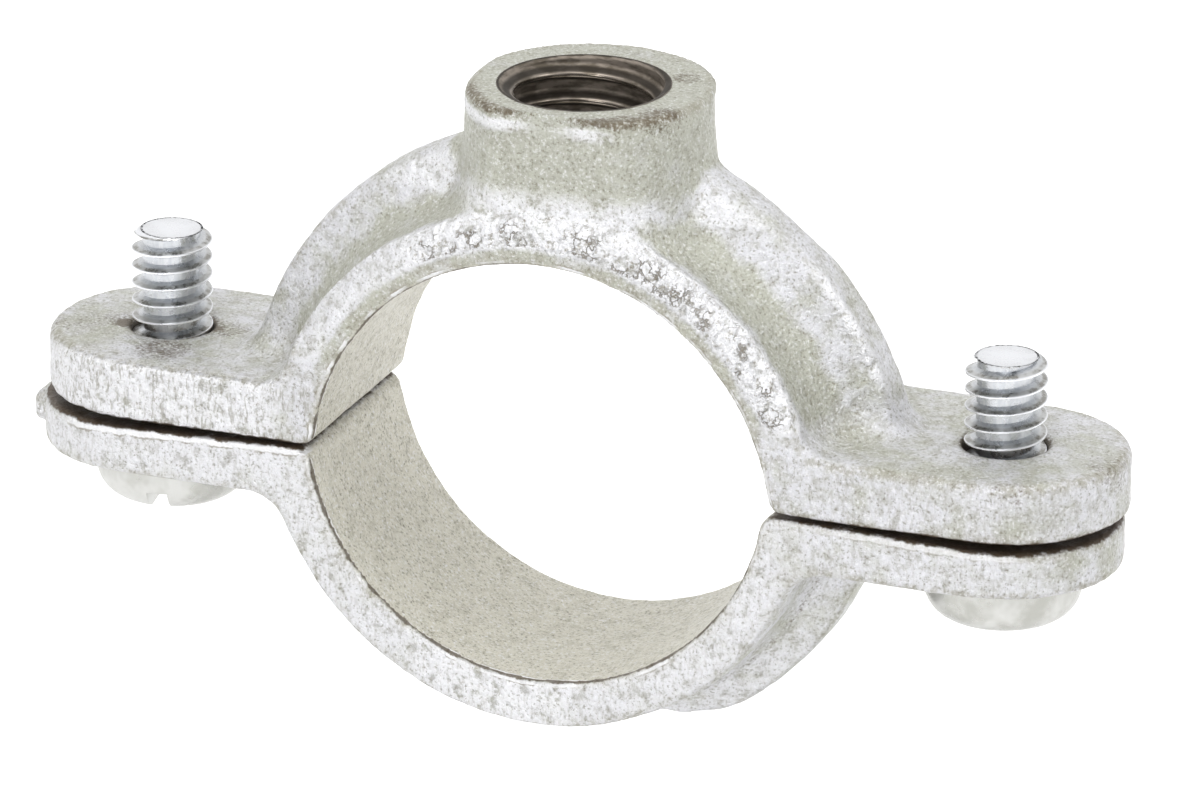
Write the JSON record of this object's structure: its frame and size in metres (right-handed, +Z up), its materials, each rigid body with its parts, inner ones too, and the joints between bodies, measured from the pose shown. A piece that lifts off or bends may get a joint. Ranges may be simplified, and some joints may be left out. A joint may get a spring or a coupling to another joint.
{
  "type": "split ring hanger",
  "caption": "Split ring hanger: two ribbed half rings closed round a pipe by slotted screws, under a boss tapped for a hanger rod.",
  "frame": {"origin": "middle of the ring opening, on the line where the two halves meet", "axes": "+X along the ears to the right, +Y along the pipe away from the viewer, +Z up the rod"},
  "size_m": [0.0678, 0.0146, 0.0376],
  "materials": {
    "galvanised_iron": "hot-dip galvanised, grainy as cast",
    "zinc_plated_steel": "bright zinc plate"
  },
  "bodies": {
    "upper_half": {"upper_half": "galvanised_iron"},
    "lower_half": {"lower_half": "galvanised_iron"},
    "left_screw": {"left_screw": "zinc_plated_steel"},
    "right_screw": {"right_screw": "zinc_plated_steel"}
  },
  "joints": [
    {"name": "lower_half_drop", "type": "slide", "parent": "upper_half", "child": "lower_half", "axis": [0, 0, -1], "range_m": [0, 0.00794]},
    {"name": "left_screw_turn", "type": "hinge", "parent": "lower_half", "child": "left_screw", "pos_m": [-0.0261, 0, 0], "axis": [0, 0, -1], "range_deg": [0, 2701]},
    {"name": "right_screw_turn", "type": "hinge", "parent": "lower_half", "child": "right_screw", "pos_m": [0.0261, 0, 0], "axis": [0, 0, -1], "range_deg": [0, 2701]}
  ],
  "couplings": [
    {"joint": "left_screw_turn", "follows": "lower_half_drop", "rad_per_m": 5937.1},
    {"joint": "right_screw_turn", "follows": "lower_half_drop", "rad_per_m": 5937.1}
  ]
}
